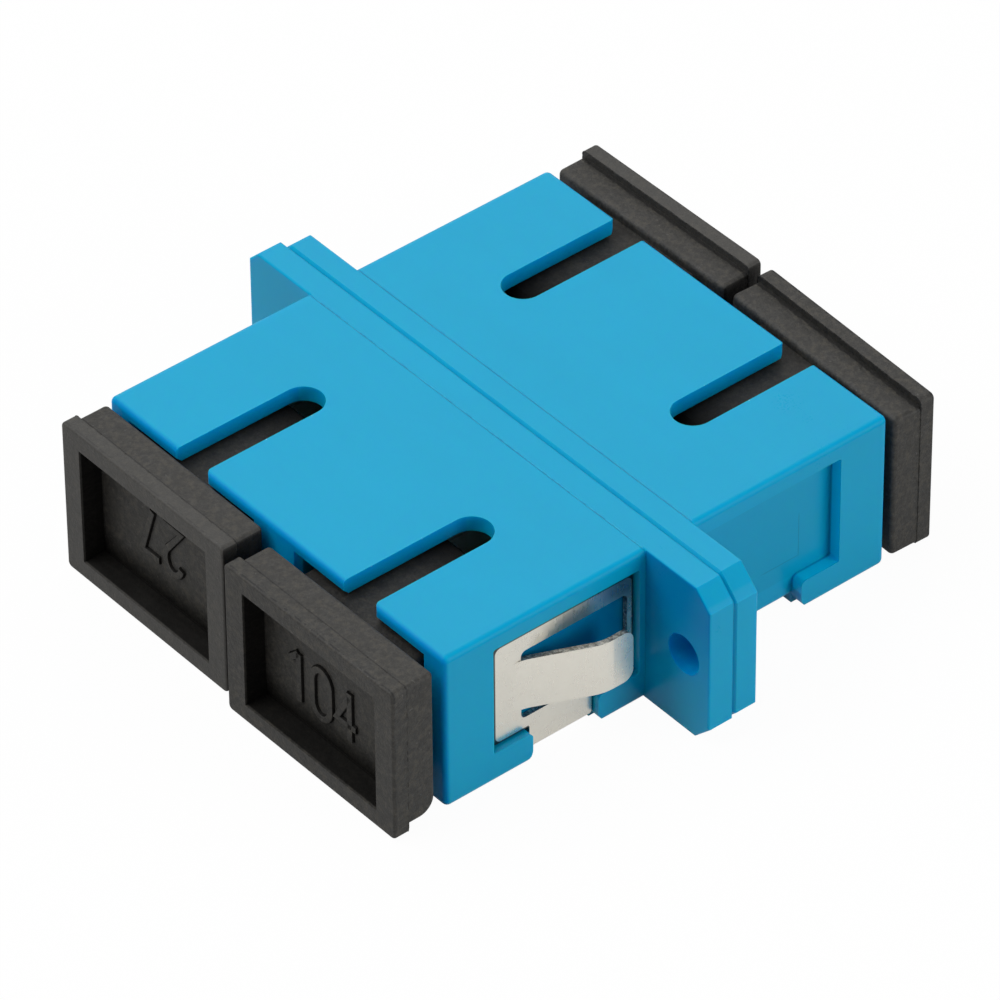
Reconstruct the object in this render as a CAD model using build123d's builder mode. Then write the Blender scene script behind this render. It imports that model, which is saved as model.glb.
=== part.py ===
"""Duplex fibre adapter: two welded housing halves, latch holders, split sleeves, panel clip and dust caps.

The origin is on the base plane, under the middle of the flange seam. X runs along the flange,
Y along the fibre axis with the rear ports at +Y, and Z is up. All sizes are millimetres.
"""
from build123d import *
import os

os.makedirs("parts", exist_ok=True)

FRONT, REAR = -1, 1
LEFT, RIGHT = -1, 1

# Housing outside
body_width = 25.4
body_height = 9.3
body_length = 27.6
body_edge_round = 0.35
mouth_edge_round = 0.3
flange_length = 34.7
flange_thickness = 3.0
flange_edge_round = 0.12
ear_corner = 1.2
ear_corner_front = 1.03
ear_corner_small = 0.7
seam_bevel_rear = 0.22
seam_bevel_front = 0.05

# Screw holes in the ears
screw_inset = 1.85
screw_hole_radius = 1.1

# Ports and keyways
port_pitch = 12.7
port_width = 9.1
port_height = 7.5
port_lead_in = 0.3
keyway_width = 2.2
keyway_length = 8.0
keyway_corner_round = 0.4

# Seat of the latch holders, either side of the seam
seat_depth = 1.5
seat_ledge = 0.75
seat_clearance = 0.05

# Locating pins on the welded faces
pin_radius = 0.45
pin_length = 0.9
pin_spread = 5.6
pin_inset = 0.6
pin_clearance = 0.05

# Side recesses and the channel that carries the clip under the body
recess_depth = 0.75
recess_offset = 0.35
recess_length = 9.0
recess_bottom = 1.75
recess_top_wall = 1.05
recess_corner = 0.15
channel_offset = 2.9
channel_width = 4.05
channel_depth = 0.45
channel_corner = 0.35
lip_round = 0.3
lip_end_round = 0.7

# Panel clip
clip_thickness = 0.3
clip_clearance = 0.05
clip_end_gap = 0.1
clip_plate_corner = 0.4
window_bar = 0.35
window_bottom_bar = 0.72
window_height = 4.18
window_corner = 0.3
tongue_top_slit = 0.48
tongue_bottom_slit = 0.66
tongue_root = 1.9
tongue_rise = 1.7
tongue_slope_length = 3.75
tongue_tip_length = 1.75
tongue_bend = 2.5
tongue_corner = 0.6

# Ceramic split sleeve
sleeve_length = 11.4
sleeve_radius = 1.6
sleeve_bore_radius = 1.25
sleeve_slit = 0.4

# Latch holder
sleeve_clearance = 0.08
sleeve_end_play = 0.1
tube_wall = 0.5
tube_lip_length = 0.5
tube_lip_radius = 1.45
tube_lead_in = 0.25
arm_reach = 8.2
arm_thickness = 0.5
arm_height = 3.6
arm_gap = 0.5
hook_depth = 0.5
hook_length = 1.0
hook_flat = 0.3
arm_tip_width = 0.33

# Dust caps
head_gap = 0.2
head_top_gap = 0.1
head_depth = 2.52
head_corner = 0.3
rim_depth = 0.86
rim_edge_round = 0.15
side_edge_round = 0.25
pocket_width = 9.8
pocket_height = 7.0
pocket_depth = 1.4
cap_floor = 1.0
plug_length = 7.5
plug_clearance = 0.4
plug_top_clearance = 0.15
plug_wall = 0.5
plug_lead_in = 0.3
plug_corner = 0.3

# How far a cap's shoulder stands in from its rim, and the rounds on its back edges
flush_step = 0.03
front_bottom_step = 0.5
front_left_step = 0.34
front_top_round = 0.2
front_heel_round = 0.95
rear_top_step = 0.42
rear_bottom_step = 0.08
rear_back_round = 0.3

# How far each dust cap stands off its port, leans out sideways and is turned
front_left_gap = 0.34
front_left_lean = 0.2
front_right_gap = 0.86
front_right_lean = 0.33
front_right_turn = 0.35
rear_left_gap = 0.8
rear_left_lean = 0.2
rear_left_turn = 0.62
rear_right_gap = 0.64
rear_right_turn = 1.95

# How far a cut runs on past the surface that it opens
overrun = 1.0

# Sizes that follow from the ones above
half_length = body_length / 2
half_flange = flange_thickness / 2
axis_height = body_height / 2
seat_width = port_width + 2 * seat_ledge
screw_pitch = flange_length - 2 * screw_inset
port_roof = (body_height - port_height) / 2
core_width = body_width - 2 * recess_depth
recess_start = half_flange + recess_offset
recess_height = body_height - recess_top_wall - recess_bottom
channel_start = half_flange + channel_offset
tube_bore_radius = sleeve_radius + sleeve_clearance
tube_radius = tube_bore_radius + tube_wall
head_width = port_pitch - head_gap
head_height = body_height - 2 * head_top_gap


def facing(side, x=0.0, y=0.0):
    """Plane at mid height whose normal points out of the front or rear ports, with +Z up in it."""
    return Plane(origin=(x, y, axis_height), x_dir=(-side, 0, 0), z_dir=(0, side, 0))


def plan(side, x=0.0):
    """Horizontal plane through the port axis, with its second direction pointing out of the ports."""
    return Plane(origin=(x, 0, axis_height), x_dir=(-side, 0, 0), z_dir=(0, 0, -1))


def save(part, name):
    part.label = name
    export_step(part, f"parts/{name}.step")


def recess_outline(side):
    """Side recess and the gap between its two lower lips: corners in (Y, Z), and the radius at each."""
    near, far = recess_start, recess_start + recess_length
    gap_near, gap_far = channel_start, channel_start + channel_width
    top = recess_bottom + recess_height
    flare = lip_end_round + overrun
    corners = [
        (near, top, recess_corner), (far, top, recess_corner), (far, recess_bottom, recess_corner),
        (gap_far, recess_bottom, lip_round), (gap_far, 0, lip_end_round), (gap_far + flare, 0, 0),
        (gap_far + flare, -overrun, 0), (gap_near - flare, -overrun, 0), (gap_near - flare, 0, 0),
        (gap_near, 0, lip_end_round), (gap_near, recess_bottom, lip_round),
        (near, recess_bottom, recess_corner),
    ]
    points = [(side * y, z) for y, z, radius in corners]
    return points, [radius for y, z, radius in corners]


def make_housing_half(side, corners):
    """One moulding: half flange, two ports with keyways, clip recesses, holder seats, pins and sockets."""
    seam = facing(side)
    out = Axis((0, 0, 0), (0, side, 0))
    with BuildPart(seam) as half:
        with BuildSketch(seam) as flange_outline:
            Rectangle(flange_length, body_height)
            for corner, size in zip(flange_outline.vertices().sort_by(Axis.X), corners):
                chamfer(corner, size)
        extrude(amount=half_flange)
        seam_bevel = seam_bevel_rear if side == REAR else seam_bevel_front
        chamfer(half.faces().sort_by(out)[0].edges(), seam_bevel)
        fillet(half.faces().sort_by(out)[-1].edges(), flange_edge_round)

        root = half_flange - 2 * flange_edge_round
        with BuildSketch(seam.offset(root)):
            RectangleRounded(body_width, body_height, body_edge_round)
        extrude(amount=half_length - root)
        fillet(half.faces().sort_by(out)[-1].edges(), min(mouth_edge_round, port_roof / 3))

        with BuildSketch(seam):
            with GridLocations(port_pitch, 0, 2, 1):
                Rectangle(seat_width, port_height)
        extrude(amount=seat_depth, mode=Mode.SUBTRACT)
        with BuildSketch(seam.offset(seat_depth)):
            with GridLocations(port_pitch, 0, 2, 1):
                Rectangle(port_width, port_height)
        extrude(amount=half_length - seat_depth, mode=Mode.SUBTRACT)
        mouth_wires = half.faces().sort_by(out)[-1].inner_wires()
        chamfer([wire.edges() for wire in mouth_wires], min(port_lead_in, port_roof / 3))

        tip = half_length - keyway_length
        tip_start = tip + keyway_width / 2
        past_mouth = half_length + overrun
        with BuildSketch(Plane((0, 0, body_height), x_dir=(-side, 0, 0), z_dir=(0, 0, -1))):
            for centre in (-port_pitch / 2, port_pitch / 2):
                left, right = centre - keyway_width / 2, centre + keyway_width / 2
                rounded = right + keyway_corner_round
                with BuildLine():
                    Polyline((rounded, half_length), (rounded, past_mouth),
                             (left, past_mouth), (left, tip_start))
                    ThreePointArc((left, tip_start), (centre, tip), (right, tip_start))
                    Line((right, tip_start), (right, half_length - keyway_corner_round))
                    RadiusArc((right, half_length - keyway_corner_round), (rounded, half_length),
                              keyway_corner_round)
                make_face()
        extrude(amount=axis_height, mode=Mode.SUBTRACT)

        points, radii = recess_outline(side)
        for hand in (LEFT, RIGHT):
            with BuildSketch(Plane.YZ.offset(hand * core_width / 2)):
                with BuildLine():
                    FilletPolyline(*points, radius=radii, close=True)
                make_face()
            extrude(amount=hand * (recess_depth + overrun), mode=Mode.SUBTRACT)
        with BuildSketch(seam.offset(channel_start)):
            with Locations((0, -axis_height)):
                Rectangle(body_width + 2 * overrun, 2 * recess_bottom)
            with Locations((0, channel_depth)):
                RectangleRounded(core_width, body_height, channel_corner, mode=Mode.SUBTRACT)
        extrude(amount=channel_width, mode=Mode.SUBTRACT)

        with BuildSketch(seam):
            with GridLocations(screw_pitch, 0, 2, 1):
                Circle(screw_hole_radius)
        extrude(amount=half_flange, mode=Mode.SUBTRACT)

        pin_x = body_width / 2 + pin_inset
        with BuildSketch(seam):
            with Locations((pin_x, -pin_spread / 2), (pin_x, pin_spread / 2)):
                Circle(pin_radius)
        extrude(amount=-pin_length)
        with BuildSketch(seam):
            with Locations((-pin_x, -pin_spread / 2), (-pin_x, pin_spread / 2)):
                Circle(pin_radius + pin_clearance)
        extrude(amount=pin_length + pin_clearance, mode=Mode.SUBTRACT)
    return half.part


def make_latch_holder(side, port_x):
    """Seat plate, sleeve tube and the two spring arms that catch a connector."""
    seam = facing(side, port_x)
    out = Axis((0, 0, 0), (0, side, 0))
    bore_end = sleeve_length / 2 + sleeve_end_play
    arm_inner = tube_radius + arm_gap
    arm_outer = arm_inner + arm_thickness
    hook_inner = arm_inner - hook_depth
    hook_back = arm_reach - hook_length
    with BuildPart(seam) as holder:
        with BuildSketch(seam):
            Rectangle(seat_width - 2 * seat_clearance, port_height - 2 * seat_clearance)
        extrude(amount=seat_depth - seat_clearance)
        with BuildSketch(seam):
            Circle(tube_radius)
        extrude(amount=bore_end + tube_lip_length)
        with BuildSketch(seam):
            Circle(tube_bore_radius)
        extrude(amount=bore_end, mode=Mode.SUBTRACT)
        with BuildSketch(seam):
            Circle(tube_lip_radius)
        extrude(amount=bore_end + tube_lip_length, mode=Mode.SUBTRACT)
        chamfer(holder.faces().sort_by(out)[-1].inner_wires()[0].edges(), tube_lead_in)
        with BuildSketch(plan(side, port_x)):
            with BuildLine():
                Polyline((arm_inner, seat_depth / 2), (arm_inner, hook_back), (hook_inner, hook_back),
                         (hook_inner, hook_back + hook_flat), (arm_outer - arm_tip_width, arm_reach),
                         (arm_outer, arm_reach), (arm_outer, seat_depth / 2), close=True)
            make_face()
            mirror(about=Plane.YZ)
        extrude(amount=arm_height / 2, both=True)
    return holder.part


def make_split_sleeve(port_x):
    """Slit ceramic tube that lines up the two ferrules."""
    with BuildPart() as sleeve:
        with BuildSketch(facing(FRONT, port_x)):
            Circle(sleeve_radius)
            Circle(sleeve_bore_radius, mode=Mode.SUBTRACT)
            with Locations((0, sleeve_radius)):
                Rectangle(sleeve_slit, sleeve_radius, mode=Mode.SUBTRACT)
        extrude(amount=sleeve_length / 2, both=True)
    return sleeve.part


def make_panel_clip():
    """Bent strip: a window plate with a sprung tongue on each side, joined by a web under the body."""
    inner_x = core_width / 2 + clip_clearance
    outer_x = inner_x + clip_thickness
    web_top = channel_depth - clip_clearance
    plate_bottom = recess_bottom + clip_end_gap
    plate_top = recess_bottom + recess_height - clip_end_gap
    plate_near = recess_start + clip_end_gap
    plate_length = recess_length - 2 * clip_end_gap
    window_length = plate_length - window_bar - tongue_root
    window_near = plate_near + window_bar
    root_y = window_near + window_length
    window_bottom = plate_bottom + window_bottom_bar
    inner_bend = channel_corner + clip_clearance
    tongue_bottom = window_bottom + tongue_bottom_slit
    tongue_height = window_height - tongue_bottom_slit - tongue_top_slit
    with BuildPart() as clip:
        with BuildSketch(facing(FRONT, y=-channel_start - clip_end_gap)):
            with Locations((0, web_top - clip_thickness)):
                RectangleRounded(2 * outer_x, body_height, inner_bend + clip_thickness)
            with Locations((0, web_top)):
                RectangleRounded(2 * inner_x, body_height, inner_bend, mode=Mode.SUBTRACT)
            with Locations((0, plate_bottom + clip_plate_corner)):
                Rectangle(2 * (outer_x + overrun), body_height, mode=Mode.SUBTRACT)
        extrude(amount=channel_width - 2 * clip_end_gap)

        side_plane = Plane.YZ.offset(inner_x)
        with BuildSketch(side_plane):
            with Locations((-plate_near - plate_length / 2, (plate_bottom + plate_top) / 2)):
                RectangleRounded(plate_length, plate_top - plate_bottom, clip_plate_corner)
        extrude(amount=clip_thickness)
        with BuildSketch(side_plane):
            with Locations((-window_near - window_length / 2, window_bottom + window_height / 2)):
                RectangleRounded(window_length, window_height, window_corner)
        extrude(amount=clip_thickness, mode=Mode.SUBTRACT)

        tongue_x = inner_x + clip_thickness / 2
        kink_y = -root_y + tongue_slope_length
        tip_y = kink_y + tongue_tip_length
        with BuildSketch(Plane.XY.offset(tongue_bottom)):
            with BuildLine():
                FilletPolyline((tongue_x, -root_y - tongue_root / 2), (tongue_x, -root_y),
                               (tongue_x + tongue_rise, kink_y), (tongue_x + tongue_rise, tip_y),
                               radius=tongue_bend)
            trace(line_width=clip_thickness)
        extrude(amount=tongue_height)
        tip_edges = clip.edges().filter_by(Axis.X).group_by(Axis.X)[-1].sort_by(Axis.Y)[-2:]
        fillet(tip_edges, tongue_corner)
        split(bisect_by=Plane.YZ)
        mirror(about=Plane.YZ)
    return clip.part


def make_dust_cap(side, hand, gap, lean, turn, steps, rounds):
    """Hollow rectangular plug with a pocketed head, turned about the plug's middle where it sits askew.

    The steps are how far the shoulder stands in from the rim at its top, bottom and left, and the rounds
    are those of its top and bottom back edges.
    """
    top_step, bottom_step, left_step = steps
    port_x = hand * (port_pitch / 2 + lean)
    middle = facing(side, port_x, side * (half_length + gap - plug_length / 2))
    z_dir = middle.z_dir.rotate(Axis.Z, turn)
    x_dir = middle.x_dir.rotate(Axis.Z, turn)
    back = Plane(middle.origin + z_dir * plug_length / 2, x_dir=x_dir, z_dir=z_dir)
    out = Axis(back.origin, back.z_dir)
    across = Axis(back.origin, back.x_dir)
    shoulder_top = head_height / 2 - top_step
    shoulder_bottom = bottom_step - head_height / 2
    shoulder_left = left_step - head_width / 2
    shoulder_right = head_width / 2 - flush_step
    shoulder_middle = (shoulder_left + shoulder_right) / 2
    inside_rim = head_depth - rim_depth / 2
    hollow_end = head_depth - pocket_depth - cap_floor
    plug_root = hollow_end + cap_floor / 2
    plug_width = port_width - 2 * plug_clearance
    plug_height = port_height - 2 * plug_top_clearance
    with BuildPart(back) as cap:
        side_view = Plane(back.origin + x_dir * shoulder_middle, x_dir=back.z_dir, z_dir=-back.x_dir)
        with BuildSketch(side_view):
            with BuildLine():
                FilletPolyline((0, shoulder_bottom), (0, shoulder_top), (inside_rim, shoulder_top),
                               (inside_rim, shoulder_bottom), radius=(*rounds[::-1], 0, 0), close=True)
            make_face()
        extrude(amount=(shoulder_right - shoulder_left) / 2, both=True)
        side_faces = cap.faces().sort_by(across)
        fillet(side_faces[0].edges() + side_faces[-1].edges(), side_edge_round)
        with BuildSketch(back.offset(head_depth - rim_depth)):
            RectangleRounded(head_width, head_height, head_corner)
        extrude(amount=rim_depth)
        fillet(cap.faces().sort_by(out)[-1].edges(), rim_edge_round)
        with BuildSketch(back.offset(head_depth)):
            Rectangle(pocket_width, pocket_height)
        extrude(amount=-pocket_depth, mode=Mode.SUBTRACT)
        with BuildSketch(back.offset(plug_root)):
            RectangleRounded(plug_width, plug_height, plug_corner)
        extrude(amount=-plug_root - plug_length)
        chamfer(cap.faces().sort_by(out)[0].edges(), plug_lead_in)
        with BuildSketch(back.offset(-plug_length)):
            Rectangle(plug_width - 2 * plug_wall, plug_height - 2 * plug_wall)
        extrude(amount=plug_length + hollow_end, mode=Mode.SUBTRACT)
    return cap.part


save(make_housing_half(FRONT, (ear_corner_small, ear_corner_front, ear_corner_front, ear_corner_front)),
     "housing_front")
save(make_housing_half(REAR, (ear_corner, ear_corner, ear_corner, ear_corner)), "housing_rear")
save(make_panel_clip(), "panel_clip")
for hand_name, hand in (("left", LEFT), ("right", RIGHT)):
    port_centre = hand * port_pitch / 2
    save(make_split_sleeve(port_centre), f"split_sleeve_{hand_name}")
    save(make_latch_holder(FRONT, port_centre), f"latch_holder_front_{hand_name}")
    save(make_latch_holder(REAR, port_centre), f"latch_holder_rear_{hand_name}")

front_steps = (flush_step, front_bottom_step, front_left_step)
front_rounds = (front_top_round, front_heel_round)
rear_steps = (rear_top_step, rear_bottom_step, flush_step)
rear_rounds = (rear_back_round, rear_back_round)
save(make_dust_cap(FRONT, LEFT, front_left_gap, front_left_lean, 0, front_steps, front_rounds),
     "dust_cap_front_left")
save(make_dust_cap(FRONT, RIGHT, front_right_gap, front_right_lean, front_right_turn, front_steps,
                   front_rounds), "dust_cap_front_right")
save(make_dust_cap(REAR, LEFT, rear_left_gap, rear_left_lean, rear_left_turn, rear_steps, rear_rounds),
     "dust_cap_rear_left")
save(make_dust_cap(REAR, RIGHT, rear_right_gap, 0, -rear_right_turn, rear_steps,
                   rear_rounds), "dust_cap_rear_right")
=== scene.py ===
"""Finishes, raised cap numbers, moulding flash and stage of the duplex fibre adapter.

Everything is in metres in the adapter's own frame: X along the flange, the rear ports at +Y, Z up.
Inside the shaders, positions and the widths of soft edges are in millimetres, and other numbers are shares.
"""
import math
import random

import bmesh
import bpy
from bpy.props import FloatProperty, FloatVectorProperty, PointerProperty
from mathutils import Matrix, Vector


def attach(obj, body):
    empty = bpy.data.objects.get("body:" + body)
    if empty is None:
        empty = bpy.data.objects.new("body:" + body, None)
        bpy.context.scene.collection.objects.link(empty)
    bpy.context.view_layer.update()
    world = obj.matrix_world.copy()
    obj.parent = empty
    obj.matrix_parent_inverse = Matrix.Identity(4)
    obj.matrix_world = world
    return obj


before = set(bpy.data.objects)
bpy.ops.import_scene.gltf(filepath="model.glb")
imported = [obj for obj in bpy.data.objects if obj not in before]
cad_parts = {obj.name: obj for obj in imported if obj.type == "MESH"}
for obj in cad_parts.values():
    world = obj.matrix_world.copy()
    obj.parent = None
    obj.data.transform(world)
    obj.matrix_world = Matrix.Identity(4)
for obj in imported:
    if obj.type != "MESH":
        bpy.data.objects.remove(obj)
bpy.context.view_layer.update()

bl_info = {
    "name": "Duplex Fibre Adapter",
    "version": (1, 0, 0),
    "blender": (4, 5, 0),
    "location": "3D View > Sidebar > Adapter",
    "description": "Dresses the duplex fibre adapter and sets up its studio",
    "category": "Object",
}

MM = 0.001

# Sizes of the housing that its finish follows, in millimetres
rear_points = [v.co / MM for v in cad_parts["housing_rear"].data.vertices]
HOUSING_TOP = max(p.z for p in rear_points)
HALF_LENGTH = max(p.y for p in rear_points)
HALF_BODY = 12.7
HALF_FLANGE = 1.5
PORT_OFFSET = 6.35
KEYWAY_WIDTH = 2.2
KEYWAY_LENGTH = 8.0
KEYWAY_FLOOR = 8.2
RECESS_BOTTOM = 1.75
HOLE_OFFSET = 15.5
HOLE_RADIUS = 1.1

# Faint frame moulded into the side recess: where its end and its foot run, and the middle and the half
# length of each
FRAME_END = 8.85
FRAME_END_SPAN = (4.1, 1.3)
FRAME_FOOT = 2.8
FRAME_FOOT_SPAN = (7.7, 1.15)

# Sizes of the panel clip, in millimetres: how far out its plates are, and the part of a plate that shows
# clear of the recess's edges
CLIP_INSIDE = 12.0
PLATE_NEAR = -2.02
PLATE_FAR = -10.43
PLATE_TOP = 7.73
PLATE_BOTTOM = 1.93
STRIP_NEAR = -4.5
STRIP_FAR = -8.35
PLATE_CORNER = 0.35
PLATE_OUTSIDE = CLIP_INSIDE + 0.36

# Sizes of a dust cap's head, in millimetres
HEAD_WIDTH = 12.5
HEAD_HEIGHT = 9.1
HEAD_DEPTH = 2.52
RIM_DEPTH = 0.86
HEAD_CORNER = 0.3
POCKET_DEPTH = 1.4
RIM_WIDTH = 0.8
FLASH_ROOT = 0.02

# Each cap: the side that it faces, its number, whether the number is upside down, and the number's middle
# across and up from the middle of the pocket
CAPS = {
    "front_left": (-1, "27", True, (-0.25, 0.1)),
    "front_right": (-1, "104", False, (-0.68, -0.75)),
    "rear_left": (1, "41", False, (0.0, 0.0)),
    "rear_right": (1, "72", False, (0.0, 0.0)),
}

# Each softbox: its place in metres, its width as a share of the overhead one's, and the size in the stage's
# settings that holds its power
SOFTBOXES = {
    "overhead_softbox": ((-0.2, -0.27, 0.52), 1.0, "key_power"),
    "right_softbox": ((0.5, 0.22, 0.16), 0.7, "side_power"),
    "rear_softbox": ((-0.34, 0.28, 0.37), 1.0, "rear_power"),
}

# Width of the camera's sensor in millimetres, and how near and how far it sees in metres
SENSOR_WIDTH = 36
SIGHT_START = 0.01
SIGHT_END = 20

# How far the floor lies under the part in millimetres, how bright it is to the camera, how much of its
# shadow shows, and how much of the plain white mirrors show on the floor and in the surroundings
FLOOR_DROP = 0.02
FLOOR_GLOW = 1.03
SHADOW_SHOWN = 0.06
FLOOR_MIRRORED = 0.42
SURROUNDINGS_MIRRORED = 0.35

WHITE = (1.0, 1.0, 1.0, 1.0)
# Painted shadow and painted reflection of the blue ear, under the recess's ledge on the clip
BLUE_SHADOW = (0.03, 0.14, 0.19, 1.0)
# Painted shade of the narrow gap round the clip's plates
BLUE_GAP_SHADOW = (0.004, 0.02, 0.03, 1.0)
DRY_BROWN = (0.05, 0.045, 0.03)
PALE_BROWN = (0.075, 0.066, 0.05)


class AdapterColours(bpy.types.PropertyGroup):
    """Base colours of the finishes."""

    blue: FloatVectorProperty(name="Blue plastic", description="Colour of the moulded housing",
                              subtype="COLOR", size=3, min=0, max=1, default=(0.001, 0.392, 0.652))
    black: FloatVectorProperty(name="Black plastic", description="Colour of the dust caps",
                               subtype="COLOR", size=3, min=0, max=1, default=(0.030, 0.029, 0.027))
    steel: FloatVectorProperty(name="Spring steel", description="Colour of the panel clip",
                               subtype="COLOR", size=3, min=0, max=1, default=(0.97, 0.925, 0.825))
    holder: FloatVectorProperty(name="Holder plastic", description="Colour of the latch holders",
                                subtype="COLOR", size=3, min=0, max=1, default=(0.70, 0.68, 0.60))
    ceramic: FloatVectorProperty(name="Ceramic", description="Colour of the split sleeves",
                                 subtype="COLOR", size=3, min=0, max=1, default=(0.82, 0.82, 0.78))


class AdapterNumbers(bpy.types.PropertyGroup):
    """Sizes of the raised numbers in the caps' pockets."""

    height: FloatProperty(name="Digit height", description="Height of a digit", unit="LENGTH",
                          default=2.95 * MM)
    width: FloatProperty(name="Digit width", description="Width that a digit's unit square takes",
                         unit="LENGTH", default=2.4 * MM)
    stroke: FloatProperty(name="Stroke", description="Width of a digit's stroke at its top", unit="LENGTH",
                          default=0.40 * MM)
    proud: FloatProperty(name="Relief", description="How far the digits stand off the pocket floor",
                         unit="LENGTH", default=0.15 * MM)
    spacing: FloatProperty(name="Spacing", description="Distance from one digit to the next", unit="LENGTH",
                           default=1.8 * MM)


class AdapterFlash(bpy.types.PropertyGroup):
    """Sizes of the broken flash line where the two halves of the cap mould met."""

    width: FloatProperty(name="Flash width", description="Width of the flash line", unit="LENGTH",
                         default=0.07 * MM)
    proud: FloatProperty(name="Flash height", description="Most that the flash stands off the rim",
                         unit="LENGTH", default=0.03 * MM)
    dash: FloatProperty(name="Flash dash", description="Usual length of one unbroken stretch", unit="LENGTH",
                        default=0.35 * MM)


class AdapterStage(bpy.types.PropertyGroup):
    """Floor, lights and camera."""

    floor_radius: FloatProperty(name="Floor radius", description="Radius of the round floor", unit="LENGTH",
                                default=4.0)
    key_power: FloatProperty(name="Key light", description="Power of the large overhead softbox",
                             unit="POWER", default=2.8)
    key_size: FloatProperty(name="Key size", description="Width of the overhead softbox", unit="LENGTH",
                            default=0.5)
    side_power: FloatProperty(name="Side light", description="Power of the softbox at the right",
                              unit="POWER", default=1.5)
    rear_power: FloatProperty(name="Rear light", description="Power of the softbox behind the left ear",
                              unit="POWER", default=0.7)
    sky: FloatProperty(name="Sky", description="Strength of the white surroundings", default=0.22)
    azimuth: FloatProperty(name="Azimuth", description="Camera's direction round the adapter",
                           subtype="ANGLE", default=math.radians(50.5197))
    elevation: FloatProperty(name="Elevation", description="Camera's height angle", subtype="ANGLE",
                             default=math.radians(40.0952))
    roll: FloatProperty(name="Roll", description="Camera's turn about its own axis", subtype="ANGLE",
                        default=math.radians(-0.479))
    distance: FloatProperty(name="Distance", description="Camera's distance from the frame's origin",
                            unit="LENGTH", default=420.709 * MM)
    rise: FloatProperty(name="Rise", description="Camera's offset along its own up direction",
                        unit="LENGTH", default=2.5944 * MM)
    aside: FloatProperty(name="Aside", description="Camera's offset along its own right direction",
                         unit="LENGTH", default=0.05 * MM)
    lens: FloatProperty(name="Focal length", description="Focal length in millimetres, on a 36 mm sensor",
                        default=310.621)


class Term:
    """A number worked out in a shader: arithmetic on it adds the Math nodes that it takes."""

    def __init__(self, finish, socket):
        self.finish = finish
        self.socket = socket

    def math(self, operation, *inputs, clamp=False):
        return self.finish.add("ShaderNodeMath", {"operation": operation, "use_clamp": clamp},
                               dict(enumerate(inputs)))

    def __add__(self, other):
        return self.math("ADD", self, other)

    def __sub__(self, other):
        return self.math("SUBTRACT", self, other)

    def __rsub__(self, other):
        return self.math("SUBTRACT", other, self)

    def __mul__(self, other):
        return self.math("MULTIPLY", self, other)

    def __truediv__(self, other):
        return self.math("DIVIDE", self, other)

    def __abs__(self):
        return self.math("ABSOLUTE", self)

    __radd__ = __add__
    __rmul__ = __mul__

    def clamped(self):
        return self.math("ADD", self, 0.0, clamp=True)

    def above(self, limit, soft=0.02):
        """1 where the number is over the limit and 0 where it is under, over a soft edge."""
        return ((self - limit) / soft + 0.5).clamped()

    def below(self, limit, soft=0.02):
        return 1 - self.above(limit, soft)

    def larger(self, other):
        return self.math("MAXIMUM", self, other)

    def root(self):
        return self.math("SQRT", self)

    def near(self, middle, half, soft=0.02):
        """1 within half of the middle, and 0 further away."""
        return abs(self - middle).below(half, soft)


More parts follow.
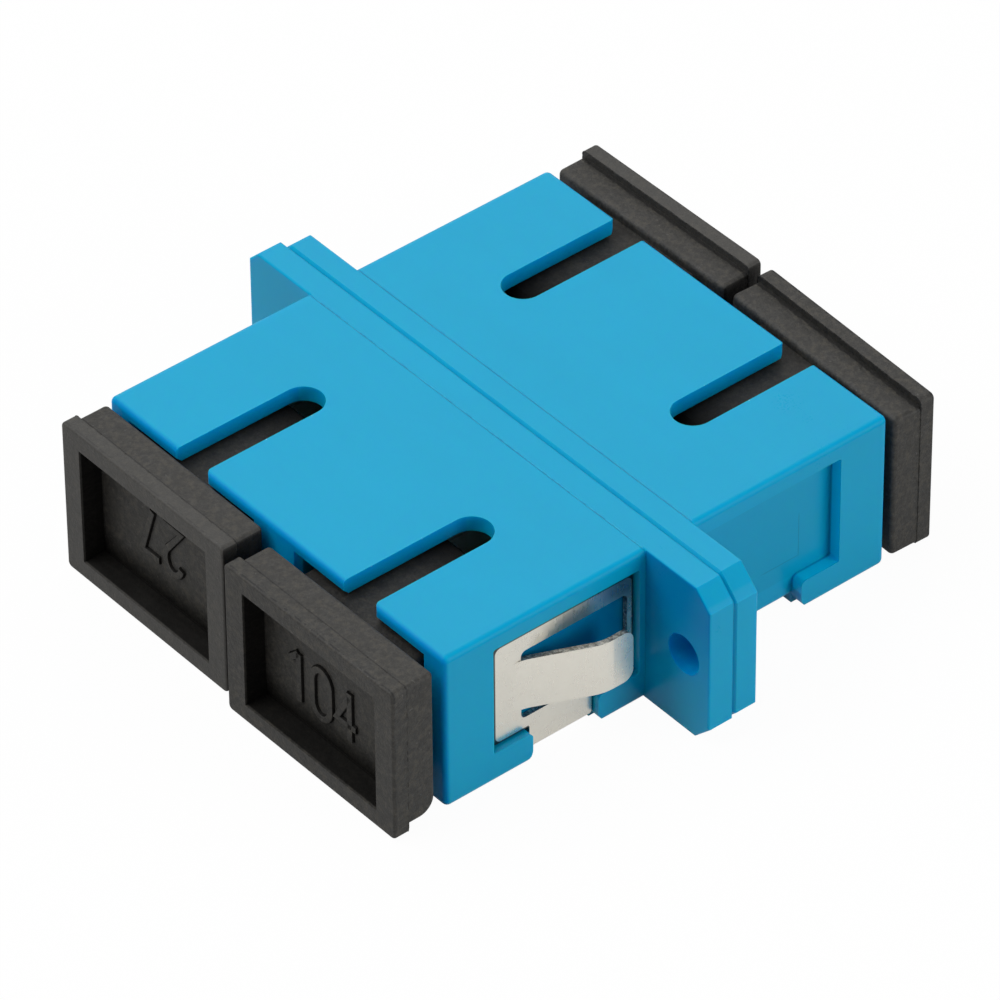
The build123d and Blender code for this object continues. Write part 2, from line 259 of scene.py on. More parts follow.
class Finish:
    """A procedural material, or the world, under construction."""

    def __init__(self, name, store="materials", kind="ShaderNodeOutputMaterial"):
        self.owner = getattr(bpy.data, store).new(name)
        self.owner.use_nodes = True
        self.tree = self.owner.node_tree
        self.tree.nodes.clear()
        self.end = self.tree.nodes.new(kind)

    def add(self, kind, settings=None, sockets=None, out=0):
        """Adds a node of a type, with its settings first and then the values or links of its sockets."""
        node = self.tree.nodes.new(kind)
        for name, value in (settings or {}).items():
            setattr(node, name, value)
        for name, value in (sockets or {}).items():
            if isinstance(value, Term):
                self.tree.links.new(value.socket, node.inputs[name])
            else:
                node.inputs[name].default_value = value
        return Term(self, node.outputs[out])

    def position(self):
        """Place on the part at rest, in millimetres."""
        metres = self.add("ShaderNodeTexCoord", out="Object")
        return self.add("ShaderNodeVectorMath", {"operation": "SCALE"}, {0: metres, "Scale": 1 / MM})

    def split(self, vector):
        first = self.add("ShaderNodeSeparateXYZ", None, {0: vector}, 0)
        node = first.socket.node
        return [Term(self, node.outputs[i]) for i in range(3)]

    def facing(self):
        """Absolute parts of the surface's own direction along X, Y and Z."""
        return [abs(part) for part in self.split(self.add("ShaderNodeTexCoord", out="Normal"))]

    def noise(self, place, scale, detail=2.0, roughness=0.5, distortion=0.0):
        return self.add("ShaderNodeTexNoise", None, {
            "Vector": place, "Scale": scale, "Detail": detail, "Roughness": roughness,
            "Distortion": distortion})

    def stretched(self, place, factors):
        return self.add("ShaderNodeVectorMath", {"operation": "MULTIPLY"}, {0: place, 1: factors})

    def along(self, place, origin, direction):
        """Distance in millimetres from an origin along a direction."""
        offset = self.add("ShaderNodeVectorMath", {"operation": "SUBTRACT"}, {0: place, 1: origin})
        return self.add("ShaderNodeVectorMath", {"operation": "DOT_PRODUCT"}, {0: offset, 1: direction},
                        "Value")

    def mix(self, factor, first, second):
        """Colour that goes from the first to the second as the factor goes from 0 to 1."""
        return self.add("ShaderNodeMix", {"data_type": "RGBA"}, {0: factor, 6: first, 7: second}, 2)

    def bump(self, height):
        """Surface direction of a relief whose height is in millimetres."""
        return self.add("ShaderNodeBump", None, {"Height": height, "Distance": MM, "Strength": 1.0})

    def rays(self):
        """1 for what the camera sees directly, and 1 for what mirrors and glass show."""
        direct = self.add("ShaderNodeLightPath", out="Is Camera Ray")
        outputs = direct.socket.node.outputs
        return direct, Term(self, outputs["Is Glossy Ray"]) + Term(self, outputs["Is Transmission Ray"])

    def surface(self, sockets, painted_shade=None):
        """Shows a Principled finish, which loses its shine where the mask of painted shade is 1."""
        shader = self.add("ShaderNodeBsdfPrincipled", None, sockets)
        if painted_shade:
            dull = self.add("ShaderNodeBsdfPrincipled", None, {**sockets, "Specular IOR Level": 0.03})
            shader = self.add("ShaderNodeMixShader", None, {0: painted_shade, 1: shader, 2: dull})
        self.show(shader)
        return self.owner

    def show(self, shader):
        self.tree.links.new(shader.socket, self.end.inputs["Surface"])


def shade(colour, factor=1.0):
    """A colour made lighter or darker, with its alpha."""
    return (*(min(1.0, part * factor) for part in colour[:3]), 1.0)


def tinted(colour, other, share):
    """A colour moved a share of the way to another one, with its alpha."""
    return (*(a + (b - a) * share for a, b in zip(colour, other)), 1.0)


class HousingFinish(Finish):
    """Satin moulded plastic, with witness lines along the flange, painted shade in its hollows and painted
    light on its recess walls.
    """

    def __init__(self, colours):
        super().__init__("blue_moulding")
        self.blue = colours.blue
        # A deeper, more saturated blue, for the moulded witness lines and seam and for painted shade
        self.deep = (0.0, colours.blue[1] * 0.72, colours.blue[2] * 1.02, 1.0)
        self.place = self.position()
        self.x, self.y, self.z = self.split(self.place)
        self.normal_x, self.normal_y, self.normal_z = self.facing()
        self.on_top = self.z.above(HOUSING_TOP - 0.06)
        self.off_slot = abs(abs(abs(self.x) - PORT_OFFSET) - KEYWAY_WIDTH / 2)
        self.cloud = self.noise(self.place, 0.16, 3.0, 0.6, 0.4)

    def moulded(self):
        """Base colour, in soft clouds and flow marks."""
        streak = self.noise(self.stretched(self.place, (0.25, 1.6, 1.0)), 0.5)
        return self.mix(self.cloud.above(0.5, 0.6) * 0.6 + streak.above(0.5, 0.7) * 0.4,
                        shade(self.blue, 0.97), shade(self.blue, 1.035))

    def witness(self):
        """Lines that the mould left where the flange meets the top, wavering and broken at the front."""
        rear = self.y.above(0)
        dashes = self.noise(self.stretched(self.place, (1.0, 0.05, 0.05)), 3.1, 3.0, 0.75).above(0.52, 0.06)
        wander = (self.noise(self.stretched(self.place, (1.0, 0, 0)), 0.9) - 0.5) * 0.05
        line = (abs(self.y) + wander * (1 - rear)).near(HALF_FLANGE + 0.02, 0.04, 0.05)
        line = line * self.on_top * abs(self.x).below(HALF_BODY)
        return line, line * (rear * 0.22 + dashes * (0.45 - rear * 0.3))

    def specks(self):
        """Pale nicks along the keyways' top edges."""
        at_slot = self.off_slot.below(0.06, 0.04) * abs(self.y).above(HALF_LENGTH - KEYWAY_LENGTH)
        return self.noise(self.place, 4.6, 1.0, 0.4).above(0.74, 0.03) * at_slot * self.on_top * 0.5

    def side_recesses(self, colour):
        """Floors of the side recesses with painted shade, darkest behind the clip, the faint moulded frame at
        the rear, and painted light on their walls.
        """
        floor = abs(self.x).below(CLIP_INSIDE - 0.02) * abs(self.x).above(CLIP_INSIDE - 0.2)
        floor = floor * self.normal_x.above(0.7, 0.2) * self.z.above(RECESS_BOTTOM, 0.1)
        # Painted shade on the recess floor behind the clip
        shade_behind_clip = floor * self.y.below(-HALF_FLANGE - 0.2, 0.1)
        colour = self.mix(shade_behind_clip * 0.8, colour, shade(self.deep, 0.58))
        end = self.y.near(FRAME_END, 0.02, 0.05) * self.z.near(*FRAME_END_SPAN, 0.3)
        foot = self.z.near(FRAME_FOOT, 0.02, 0.05) * self.y.near(*FRAME_FOOT_SPAN, 0.4)
        lines = floor * end.larger(foot)
        # Painted shade over the rest of the recess floor, together with the faint frame that is moulded at
        # its rear
        colour = self.mix(floor * (1 - shade_behind_clip) * 0.12 + lines * 0.4, colour, shade(self.blue, 0.3))
        # Painted light on the walls and lip tops of the side recesses behind the flange
        wall_light = abs(self.x).near((CLIP_INSIDE + HALF_BODY) / 2, 0.3, 0.1) * self.y.above(HALF_FLANGE + 1)
        wall_light = wall_light * (self.normal_y + self.normal_z).above(0.9, 0.1) * self.z.near(5.0, 4.0, 0.2)
        wall_light = wall_light * self.y.below(HALF_LENGTH - 0.8)
        return self.mix(wall_light * 0.9, colour, shade(self.blue, 1.8)), shade_behind_clip

    def hollows(self):
        """Painted shade on the port ends, keyway walls and screw holes, in a deeper blue."""
        port_end = self.normal_y.above(0.45, 0.4) * abs(self.y).above(HALF_LENGTH - 0.5, 0.1)
        slot_wall = (self.off_slot.below(0.12, 0.05) * self.normal_z.below(0.3, 0.2)
                     * self.z.above(KEYWAY_FLOOR, 0.2))
        across, up = abs(self.x) - HOLE_OFFSET, self.z - HOUSING_TOP / 2
        hole = (across * across + up * up).root().below(HOLE_RADIUS + 0.06, 0.04)
        return (port_end * 0.8).larger(slot_wall * 0.5 + hole * 0.8)

    def ear_shade(self):
        """The right ear's front, which the body keeps the light from, more so higher up."""
        front = self.normal_y.above(0.7, 0.2) * self.y.below(0)
        return front * self.x.above(HALF_BODY) * self.z.above(3.8, 7.0)

    def top_edges(self):
        """Rounded edges along the top."""
        return (self.normal_z.above(0.15, 0.1) * self.normal_z.below(0.92, 0.08)
                * self.z.above(HOUSING_TOP - 0.8, 0.1))

    def build(self):
        """Layers the whole finish, and gives its material."""
        line, faint_line = self.witness()
        seam = abs(self.y).below(0.06, 0.08) * (0.5 + self.normal_x * 0.1)
        hollows, ear_shade = self.hollows(), self.ear_shade()
        colour = self.mix(faint_line, self.moulded(), shade(self.deep, 0.6))
        colour = self.mix(seam, colour, shade(self.deep, 0.7))
        colour = self.mix(self.specks(), colour, tinted(self.blue, WHITE, 0.5))
        colour, shade_behind_clip = self.side_recesses(colour)
        # Painted shade in the port ends, keyway walls and screw holes, and on the right ear's front
        colour = self.mix(hollows, colour, self.deep)
        colour = self.mix(ear_shade * 0.9, colour, shade(self.deep, 0.72))
        dull = hollows.larger(self.top_edges() * 0.75 + ear_shade * 0.6)
        grain = self.noise(self.place, 9.0, 2.0, 0.6)
        ripple = self.noise(self.place, 0.35)
        return self.surface({
            "Base Color": colour,
            "Subsurface Weight": 0.6,
            "Subsurface Radius": (0.08, 0.5, 1.0),
            "Subsurface Scale": 0.7 * MM,
            "Roughness": 0.29 + (self.cloud - 0.5) * 0.06 + (grain - 0.5) * 0.03,
            "Specular IOR Level": 0.18,
            "Normal": self.bump(grain * 0.0006 + ripple * 0.012 - line * 0.03),
        }, shade_behind_clip.larger(dull).clamped())


def black_plastic(name, colours, cap=None):
    """Matt moulded plastic with a fine grain in patches and painted shade, plus a cap's wear and painted
    light if it has one.
    """
    finish = Finish(name)
    black = colours.black
    place = finish.position()
    grain = finish.noise(place, 5.6, 3.0, 0.75)
    coarse = finish.noise(place, 0.9, 3.0, 0.65)
    patches = finish.noise(place, 2.6, 3.0, 0.7)
    flecks = finish.noise(place, 5.0, 1.0, 0.3).above(0.765, 0.03)
    colour = finish.mix(grain.above(0.5, 0.45), shade(black, 0.2), shade(black, 1.85))
    colour = finish.mix(coarse.above(0.48, 0.5) * 0.4, colour, tinted(black, DRY_BROWN, 0.6))
    colour = finish.mix(patches.above(0.56, 0.2) * 0.45, colour, shade(black, 0.35))
    colour = finish.mix(patches.below(0.42, 0.14) * 0.5, colour, tinted(black, PALE_BROWN, 0.8))
    colour = finish.mix(flecks * 0.5, colour, shade(black, 3.5))
    if cap:
        colour, painted_shade = cap_wear_and_shade(finish, place, colour, black, cap)
    else:
        # Painted shade on the sides of the raised digits
        painted_shade = finish.facing()[1].below(0.8, 0.25) * 0.85
        colour = finish.mix(painted_shade, colour, shade(black, 0.15))
    return finish.surface({
        "Base Color": colour,
        "Roughness": 0.58 + (coarse - 0.5) * 0.12 + (grain - 0.5) * 0.2,
        "Specular IOR Level": 0.42,
        "Normal": finish.bump(grain * 0.04 + coarse * 0.03),
    }, painted_shade)


def cap_wear_and_shade(finish, place, colour, black, cap):
    """Colour of one cap with its ragged front edge, painted shade in the step under its rim and painted light
    on the rims at the left.

    Also gives the mask of its painted shade: the pocket, the plug and the side beside the next cap.
    """
    across, up, out = cap.axes()
    from_face = 0 - finish.along(place, cap.origin / MM, out)
    sideways = abs(finish.along(place, cap.origin / MM, across))
    above_middle = finish.along(place, cap.origin / MM, up)
    outside = (sideways - HEAD_WIDTH / 2).larger(abs(above_middle) - HEAD_HEIGHT / 2)
    on_top = above_middle.above(HEAD_HEIGHT / 2 - 0.65, 0.05)
    in_pocket = outside.below(-RIM_WIDTH, 0.05)

    ragged = finish.noise(place, 2.2, 3.0, 0.7)
    edge = from_face.near(0.13, 0.05, 0.05) * outside.above(-0.2, 0.06) * ragged.above(0.49, 0.05)
    colour = finish.mix(edge * (0.35 + on_top * 0.6), colour, shade(black, 0.1))
    # Painted shade in the crease of the step under the rim, in broken dashes, wider on the rear caps and
    # darkest along the top
    dashes = finish.noise(place, 4.2, 2.0, 0.7).above(0.5, 0.08)
    band = 0.03 + (0.16 if out.y > 0 else 0.02) * ragged
    line = (from_face - RIM_DEPTH).near(band, band, 0.03) * outside.above(-0.65, 0.05)
    colour = finish.mix(line * (0.12 * dashes + 0.75 * on_top), colour, shade(black, 0.12))
    # Painted light on the rims of the caps at the left
    x = finish.split(place)[0]
    colour = finish.mix(x.below(0) * from_face.below(RIM_DEPTH, 0.1) * 0.4, colour, shade(black, 2.6))

    # Painted shade on the pocket's walls and foot, on the plug further in, and on the side that faces the
    # next cap
    streaks = finish.noise(finish.stretched(place, (0.4, 1.0, 3.0)), 1.6, 3.0, 0.6)
    walls = from_face.near(POCKET_DEPTH / 2 + 0.02, POCKET_DEPTH / 2 - 0.1, 0.08) * in_pocket
    plug = from_face.above(HEAD_DEPTH + 0.1, 0.3) * 0.35 + from_face.above(HEAD_DEPTH + 5.6, 3.2) * 0.65
    pocket_foot_shade = (from_face.above(POCKET_DEPTH - 0.1) * from_face.below(HEAD_DEPTH)
                   * above_middle.below(-2.7, 1.5) * in_pocket)
    inward_side_shade = finish.facing()[0].above(0.8, 0.1) * abs(x).below(0.6, 0.1)
    painted_shade = (walls * (0.75 + streaks * 0.25) + plug + inward_side_shade * 0.6 + pocket_foot_shade * 0.9).clamped()
    return finish.mix(painted_shade, colour, shade(black, 0.22)), painted_shade


def plate_gap_shadow(x, y, z):
    """1 on the painted shade of the gap round the clip's plates, outside a rounded box that is open at the
    strip's foot.
    """
    middle_y, half_y = (PLATE_NEAR + PLATE_FAR) / 2, (PLATE_NEAR - PLATE_FAR) / 2
    middle_z, half_z = (PLATE_TOP + PLATE_BOTTOM) / 2, (PLATE_TOP - PLATE_BOTTOM) / 2
    strip = y.near((STRIP_NEAR + STRIP_FAR) / 2, (STRIP_NEAR - STRIP_FAR) / 2, 0.1) * z.below(middle_z)
    past_y = (abs(y - middle_y) - (half_y - PLATE_CORNER)).larger(0)
    past_z = (abs(z - middle_z) - (half_z - PLATE_CORNER) - strip * 10).larger(0)
    return ((past_y * past_y + past_z * past_z).root().above(PLATE_CORNER, 0.05)
            * abs(x).below(PLATE_OUTSIDE, 0.05))


def spring_steel(colours):
    """Rolled strip with fine lines along it, torn punched edges, painted shadow and reflection under the
    ledge, and painted shade round its plates.
    """
    finish = Finish("rolled_spring_steel")
    place = finish.position()
    x, y, z = finish.split(place)
    normal_x, normal_y, normal_z = finish.facing()
    rolled = finish.noise(finish.stretched(place, (1.0, 5.0, 0.35)), 2.4, 4.0, 0.7)
    mottle = finish.noise(place, 1.3, 3.0, 0.6, 0.6)
    pits = finish.noise(place, 8.0, 2.0, 0.6).above(0.70, 0.05)
    edge = (1 - (normal_x + normal_z).above(0.55, 0.3)) * normal_y.above(0.5, 0.3)
    punched = edge.larger(normal_z.above(0.8, 0.2) * normal_x.below(0.3, 0.1))
    tear = finish.noise(place, 4.5, 3.0, 0.8).above(0.47, 0.2)
    # Painted shadow and painted reflection of the blue ear on the plate's top near the flange, under the
    # recess's ledge
    ledge_shadow = y.above(-4.0, 2.4) * z.above(6.3, 1.6) * abs(x).below(PLATE_OUTSIDE, 0.05)
    colour = finish.mix(mottle.above(0.5, 0.7) * 0.7, shade(colours.steel, 0.95), shade(colours.steel, 1.05))
    colour = finish.mix(pits * 0.08, colour, shade(colours.steel, 0.45))
    colour = finish.mix(punched * (0.25 + tear * 0.6), colour, shade(colours.steel, 0.1))
    colour = finish.mix(ledge_shadow * 0.72, colour, BLUE_SHADOW)
    # Painted shade in the gap round the plates
    colour = finish.mix(plate_gap_shadow(x, y, z) * 0.93, colour, BLUE_GAP_SHADOW)
    return finish.surface({
        "Base Color": colour,
        "Metallic": 1.0,
        "Roughness": 0.28 + (mottle - 0.5) * 0.05 + (rolled - 0.5) * 0.05 + punched * 0.15,
        "Normal": finish.bump(rolled * 0.0006 + punched * tear * 0.015),
    })


def holder_plastic(colours):
    """Natural moulded plastic of the latch holders."""
    finish = Finish("natural_moulding")
    place = finish.position()
    cloud = finish.noise(place, 0.5, 3.0, 0.6)
    grain = finish.noise(place, 8.0, 2.0, 0.6)
    colour = finish.mix(cloud, shade(colours.holder, 0.92), shade(colours.holder, 1.05))
    return finish.surface({
        "Base Color": colour,
        "Roughness": 0.45 + (grain - 0.5) * 0.1,
        "Normal": finish.bump(grain * 0.003),
    })


def ceramic(colours):
    """Ground ceramic with fine turning marks round the sleeve."""
    finish = Finish("ground_ceramic")
    place = finish.position()
    rings = finish.noise(finish.stretched(place, (0.05, 6.0, 0.05)), 2.0, 3.0, 0.7)
    colour = finish.mix(rings, shade(colours.ceramic, 0.94), shade(colours.ceramic, 1.04))
    return finish.surface({
        "Base Color": colour,
        "Roughness": 0.22 + (rings - 0.5) * 0.1,
        "Normal": finish.bump(rings * 0.002),
    })


def lit_background(finish, ground):
    """The ground as the camera, mirrors and glass see it: nearly white, with the shadow kept faint."""
    seen, mirrored = finish.rays()
    seen = (seen + mirrored * FLOOR_MIRRORED).clamped()
    glow = finish.add("ShaderNodeEmission", None, {"Color": WHITE, "Strength": FLOOR_GLOW})
    return finish.add("ShaderNodeMixShader", None, {0: seen * (1 - SHADOW_SHOWN), 1: ground, 2: glow})


def pale_floor():
    """Matt near-white floor that fades into the surroundings."""
    finish = Finish("pale_floor")
    ground = finish.add("ShaderNodeBsdfDiffuse", None, {"Color": (0.5, 0.5, 0.5, 1.0)})
    finish.show(lit_background(finish, ground))
    return finish.owner


def white_surroundings(strength):
    """World that lights evenly, and shows plain white to the camera and in reflections."""
    finish = Finish("white_surroundings", "worlds", "ShaderNodeOutputWorld")
    seen, mirrored = finish.rays()
    light, shown = (finish.add("ShaderNodeBackground", None, {"Color": WHITE, "Strength": s})
                    for s in (strength, 1.0))
    seen = (seen + mirrored * SURROUNDINGS_MIRRORED).clamped()
    finish.show(finish.add("ShaderNodeMixShader", None, {0: seen, 1: light, 2: shown}))
    return finish.owner


def dress(node, material):
    """Gives a carried-over node its finish."""
    for material_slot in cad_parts[node].material_slots:
        material_slot.material = material


class CapFrame:
    """Where a dust cap's head is: the middle of its outer face, and its directions."""

    def __init__(self, node, side):
        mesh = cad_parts[node].data
        total = Vector()
        for polygon in mesh.polygons:
            if polygon.normal.y * side > 0.99:
                total += polygon.normal * polygon.area
        self.out = total.normalized()
        self.up = Vector((0, 0, 1))
        self.across = self.up.cross(self.out)
        points = [v.co for v in mesh.vertices]
        reach = max(p.dot(self.out) for p in points)
        low, high = (f(p.dot(self.across) for p in points) for f in (min, max))
        bottom, top = (f(p.z for p in points) for f in (min, max))
        self.origin = (self.out * reach + self.across * ((low + high) / 2)
                       + self.up * ((bottom + top) / 2))

    def axes(self):
        return self.across, self.up, self.out

    def matrix(self, depth):
        """Frame on the head at a depth below its outer face, with X across and Z out."""
        turned = Matrix((self.across, self.up, self.out)).transposed().to_4x4()
        return Matrix.Translation(self.origin - self.out * depth) @ turned


# Section of a digit's stroke: shares of its half width and of its relief, from left to right
STROKE_SECTION = ((-1.2, -0.1), (-1.1, 0.35), (-0.9, 0.9), (-0.7, 1.0),
                  (0.7, 1.0), (0.9, 0.9), (1.1, 0.35), (1.2, -0.1))


def arc(centre, radii, start, stop, steps=14):
    """Points along part of an ellipse, between two angles in degrees."""
    angles = [math.radians(start + (stop - start) * i / steps) for i in range(steps + 1)]
    return [(centre[0] + radii[0] * math.cos(a), centre[1] + radii[1] * math.sin(a)) for a in angles]


def digit_strokes(digit):
    """Strokes of a digit one unit tall, its middle at zero, as lists of points and whether each is closed."""
    strokes = {
        "0": [(arc((0, 0.22), (0.27, 0.28), 0, 180) + arc((0, -0.22), (0.27, 0.28), 180, 360), True)],
        "1": [([(-0.2, 0.3), (-0.03, 0.42), (0.06, 0.5)], False), ([(0.06, 0.5), (0.06, -0.5)], False)],
        "2": [(arc((0, 0.22), (0.26, 0.28), 165, -38) + [(-0.28, -0.47), (0.29, -0.47)], False)],
        "4": [([(0.13, 0.5), (0.13, -0.5)], False), ([(0.13, 0.41), (-0.28, -0.2), (0.32, -0.2)], False)],
        "7": [([(-0.28, 0.47), (0.28, 0.47), (-0.1, -0.5)], False)],
    }
    return strokes[digit]


def sweep(mesh, points, closed, section):
    """Sweeps an open section, given as offsets and heights, along a flat path and caps its ends."""
    points = [Vector(p) for p in points]
    rings = []
    for i, point in enumerate(points):
        before = points[i - 1] if closed or i else None
        after = points[(i + 1) % len(points)] if closed or i + 1 < len(points) else None
        directions = [d.normalized() for d in ((point - before) if before else None,
                                               (after - point) if after else None) if d]
        middle = sum(directions, Vector((0, 0))).normalized()
        side = Vector((-middle.y, middle.x))
        stretch = 1 / max(0.6, abs(middle.dot(directions[0])))
        rings.append([mesh.verts.new((*(point + side * offset * stretch), height))
                      for offset, height in section])
    count = len(rings)
    for i in range(count if closed else count - 1):
        first, second = rings[i], rings[(i + 1) % count]
        for j in range(len(section) - 1):
            mesh.faces.new((first[j], first[j + 1], second[j + 1], second[j]))
        mesh.faces.new((first[-1], first[0], second[0], second[-1]))
    if not closed:
        mesh.faces.new(rings[0])
        mesh.faces.new(reversed(rings[-1]))


def new_piece(name, mesh, body, material):
    """Makes a piece from a bmesh, and lets it ride on a body."""
    bmesh.ops.recalc_face_normals(mesh, faces=mesh.faces)
    data = bpy.data.meshes.new(name)
    mesh.to_mesh(data)
    mesh.free()
    data.materials.append(material)
    piece = bpy.data.objects.new(name, data)
    bpy.context.scene.collection.objects.link(piece)
    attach(piece, body)
    return piece


def number_piece(name, sizes, material):
    """Raised number on the floor of one cap's pocket."""
    side, number, upside_down, middle = CAPS[name]
    cap = CapFrame(f"dust_cap_{name}", side)
    mesh = bmesh.new()
    section = [(part * sizes.stroke / 2, height * sizes.proud) for part, height in STROKE_SECTION]
    for i, digit in enumerate(number):
        shift = (i - (len(number) - 1) / 2) * sizes.spacing
        for points, closed in digit_strokes(digit):
            path = [(x * sizes.width + shift, y * sizes.height) for x, y in points]
            if closed:
                path = [p for j, p in enumerate(path) if Vector(p) - Vector(path[j - 1]) != Vector((0, 0))]
            sweep(mesh, path, closed, section)
    turn = Matrix.Rotation(math.pi if upside_down else 0.0, 4, "Z")
    place = Matrix.Translation((middle[0] * MM, middle[1] * MM, 0))
    mesh.transform(cap.matrix(POCKET_DEPTH * MM) @ place @ turn)
    return new_piece(f"cap_number_{name}", mesh, f"dust_cap_{name}", material)


def rim_outline():
    """Points round the outside of a cap's rim, in metres."""
    half_width, half_height = HEAD_WIDTH / 2 - HEAD_CORNER, HEAD_HEIGHT / 2 - HEAD_CORNER
    points = []
    for i, (sx, sy) in enumerate(((1, 1), (-1, 1), (-1, -1), (1, -1))):
        points += arc((sx * half_width, sy * half_height), (HEAD_CORNER, HEAD_CORNER), 90 * i, 90 * i + 90, 4)
    return [Vector(p) * MM for p in points]


def add_flash(mesh, ends, outward, half, proud):
    """Adds one stretch of flash between two ends: a low ridge whose foot lies just inside the rim."""
    a, b = ends
    run = b - a
    foot = [mesh.verts.new((*(p - outward * FLASH_ROOT * MM), h)) for p in (a, b) for h in (-half, half)]
    top = [mesh.verts.new((*(p + outward * proud), 0)) for p in (a + run * 0.2, b - run * 0.2)]
    mesh.faces.new((foot[0], foot[2], top[1], top[0]))
    mesh.faces.new((foot[1], top[0], top[1], foot[3]))
    mesh.faces.new((foot[0], top[0], foot[1]))
    mesh.faces.new((foot[2], foot[3], top[1]))
    mesh.faces.new((foot[0], foot[1], foot[3], foot[2]))


def flash_piece(name, sizes, material):
    """Broken ridge of flash round one cap, where its rim meets its shoulder."""
    cap = CapFrame(f"dust_cap_{name}", CAPS[name][0])
    draw = random.Random(f"flash {name}")
    outline = rim_outline()
    mesh = bmesh.new()
    for start, stop in zip(outline, outline[1:] + outline[:1]):
        length = (stop - start).length
        along = (stop - start).normalized()
        outward = Vector((along.y, -along.x))
        travelled = 0.0
        while travelled < length:
            dash = min(sizes.dash * draw.uniform(0.3, 2.2), length - travelled)
            proud = sizes.proud * draw.uniform(0.25, 1.0)
            half = sizes.width / 2 * draw.uniform(0.6, 1.0)
            ends = start + along * travelled, start + along * (travelled + dash)
            add_flash(mesh, ends, outward, half, proud)
            travelled += dash + sizes.dash * draw.uniform(0.1, 1.0)
    mesh.transform(cap.matrix(RIM_DEPTH * MM))
    return new_piece(f"cap_flash_{name}", mesh, f"dust_cap_{name}", material)


def cap_material(name):
    """Finish of one dust cap, made once."""
    made = bpy.data.materials.get(f"black_moulding_{name}")
    if made:
        return made
    cap = CapFrame(f"dust_cap_{name}", CAPS[name][0])
    return black_plastic(f"black_moulding_{name}", bpy.context.scene.adapter_colours, cap)


class ADAPTER_OT_housings(bpy.types.Operator):
    """Finish the two housing halves"""

    bl_idname = "adapter.housings"
    bl_label = "Housing halves"

    def execute(self, context):
        material = HousingFinish(context.scene.adapter_colours).build()
        for node in ("housing_front", "housing_rear"):
            dress(node, material)
        return {"FINISHED"}


class ADAPTER_OT_panel_clip(bpy.types.Operator):
    """Finish the sprung panel clip"""

    bl_idname = "adapter.panel_clip"
    bl_label = "Panel clip"

    def execute(self, context):
        dress("panel_clip", spring_steel(context.scene.adapter_colours))
        return {"FINISHED"}


class ADAPTER_OT_inner_pieces(bpy.types.Operator):
    """Finish the latch holders and the split sleeves"""

    bl_idname = "adapter.inner_pieces"
    bl_label = "Latch holders and sleeves"

    def execute(self, context):
        colours = context.scene.adapter_colours
        finishes = {"latch_holder": holder_plastic(colours), "split_sleeve": ceramic(colours)}
        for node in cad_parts:
            for start, material in finishes.items():
                if node.startswith(start):
                    dress(node, material)
        return {"FINISHED"}


class ADAPTER_OT_dust_caps(bpy.types.Operator):
    """Finish the dust caps"""

    bl_idname = "adapter.dust_caps"
    bl_label = "Dust caps"

    def execute(self, context):
        for name in CAPS:
            dress(f"dust_cap_{name}", cap_material(name))
        return {"FINISHED"}


class ADAPTER_OT_cap_numbers(bpy.types.Operator):
    """Raise a plain number in each dust cap's pocket"""

    bl_idname = "adapter.cap_numbers"
    bl_label = "Cap numbers"

    def execute(self, context):
        material = black_plastic("black_moulding_numbers", context.scene.adapter_colours)
        for name in CAPS:
            number_piece(name, context.scene.adapter_numbers, material)
        return {"FINISHED"}


class ADAPTER_OT_cap_flash(bpy.types.Operator):
    """Run a broken line of moulding flash round each dust cap"""

    bl_idname = "adapter.cap_flash"
    bl_label = "Cap flash"

    def execute(self, context):
        for name in CAPS:
            flash_piece(name, context.scene.adapter_flash, cap_material(name))
        return {"FINISHED"}


def softbox(name, location, size, power):
    """Square area light aimed at the adapter."""
    light = bpy.data.lights.new(name, "AREA")
    light.shape = "SQUARE"
    light.size = size
    light.energy = power
    lamp = bpy.data.objects.new(name, light)
    lamp.location = location
    lamp.rotation_euler = (-Vector(location)).to_track_quat("-Z", "Y").to_euler()
    bpy.context.scene.collection.objects.link(lamp)


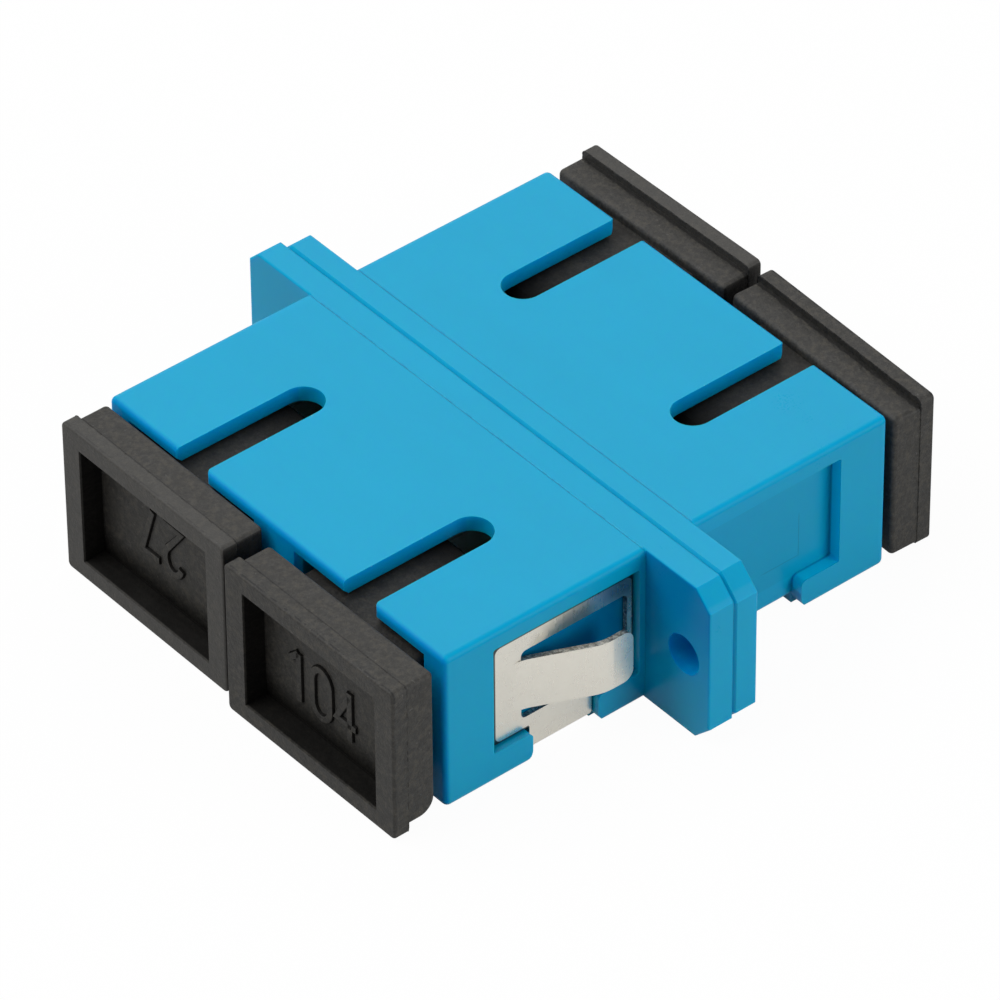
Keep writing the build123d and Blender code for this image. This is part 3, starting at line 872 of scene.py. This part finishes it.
class ADAPTER_OT_stage(bpy.types.Operator):
    """Lay the floor and set up the lights and the camera"""

    bl_idname = "adapter.stage"
    bl_label = "Stage"

    def execute(self, context):
        stage = context.scene.adapter_stage
        self.lay_floor(stage)
        self.set_lights(context.scene, stage)
        self.set_camera(context.scene, stage)
        return {"FINISHED"}

    @staticmethod
    def lay_floor(stage):
        mesh = bmesh.new()
        bmesh.ops.create_circle(mesh, cap_ends=True, segments=96, radius=stage.floor_radius)
        bmesh.ops.translate(mesh, verts=mesh.verts, vec=(0, 0, -FLOOR_DROP * MM))
        data = bpy.data.meshes.new("floor")
        mesh.to_mesh(data)
        mesh.free()
        data.materials.append(pale_floor())
        floor = bpy.data.objects.new("floor", data)
        bpy.context.scene.collection.objects.link(floor)

    @staticmethod
    def set_lights(scene, stage):
        scene.world = white_surroundings(stage.sky)
        for name, (location, share, power) in SOFTBOXES.items():
            softbox(name, location, stage.key_size * share, getattr(stage, power))
        scene.view_settings.view_transform = "Standard"

    @staticmethod
    def set_camera(scene, stage):
        azimuth, elevation = stage.azimuth, stage.elevation
        back = Vector((math.sin(azimuth) * math.cos(elevation), -math.cos(azimuth) * math.cos(elevation),
                       math.sin(elevation)))
        right = Vector((math.cos(azimuth), math.sin(azimuth), 0))
        up = back.cross(right)
        turn = Matrix.Rotation(stage.roll, 3, back)
        right, up = turn @ right, turn @ up
        data = bpy.data.cameras.new("photo_camera")
        data.sensor_width = SENSOR_WIDTH
        data.lens = stage.lens
        data.clip_start = SIGHT_START
        data.clip_end = SIGHT_END
        camera = bpy.data.objects.new("photo_camera", data)
        place = right * stage.aside + up * stage.rise + back * stage.distance
        camera.matrix_world = Matrix.Translation(place) @ Matrix((right, up, back)).transposed().to_4x4()
        scene.collection.objects.link(camera)
        scene.camera = camera


OPERATORS = (ADAPTER_OT_housings, ADAPTER_OT_panel_clip, ADAPTER_OT_inner_pieces, ADAPTER_OT_dust_caps,
             ADAPTER_OT_cap_numbers, ADAPTER_OT_cap_flash, ADAPTER_OT_stage)

GROUPS = {
    "adapter_colours": AdapterColours,
    "adapter_numbers": AdapterNumbers,
    "adapter_flash": AdapterFlash,
    "adapter_stage": AdapterStage,
}


class ADAPTER_PT_panel(bpy.types.Panel):
    """Lists the adapter's pieces and their sizes"""

    bl_idname = "ADAPTER_PT_panel"
    bl_label = "Duplex fibre adapter"
    bl_space_type = "VIEW_3D"
    bl_region_type = "UI"
    bl_category = "Adapter"

    def draw(self, context):
        for operator in OPERATORS:
            self.layout.operator(operator.bl_idname)
        for group in GROUPS:
            settings = getattr(context.scene, group)
            for name in settings.__annotations__:
                self.layout.prop(settings, name)


def register():
    for kind in (*GROUPS.values(), *OPERATORS, ADAPTER_PT_panel):
        bpy.utils.register_class(kind)
    for name, group in GROUPS.items():
        setattr(bpy.types.Scene, name, PointerProperty(type=group))


def unregister():
    for name in GROUPS:
        delattr(bpy.types.Scene, name)
    for kind in reversed((*GROUPS.values(), *OPERATORS, ADAPTER_PT_panel)):
        bpy.utils.unregister_class(kind)


def main():
    register()
    bpy.ops.adapter.housings()
    bpy.ops.adapter.panel_clip()
    bpy.ops.adapter.inner_pieces()
    bpy.ops.adapter.dust_caps()
    bpy.ops.adapter.cap_numbers()
    bpy.ops.adapter.cap_flash()
    bpy.ops.adapter.stage()


if __name__ == "__main__":
    main()
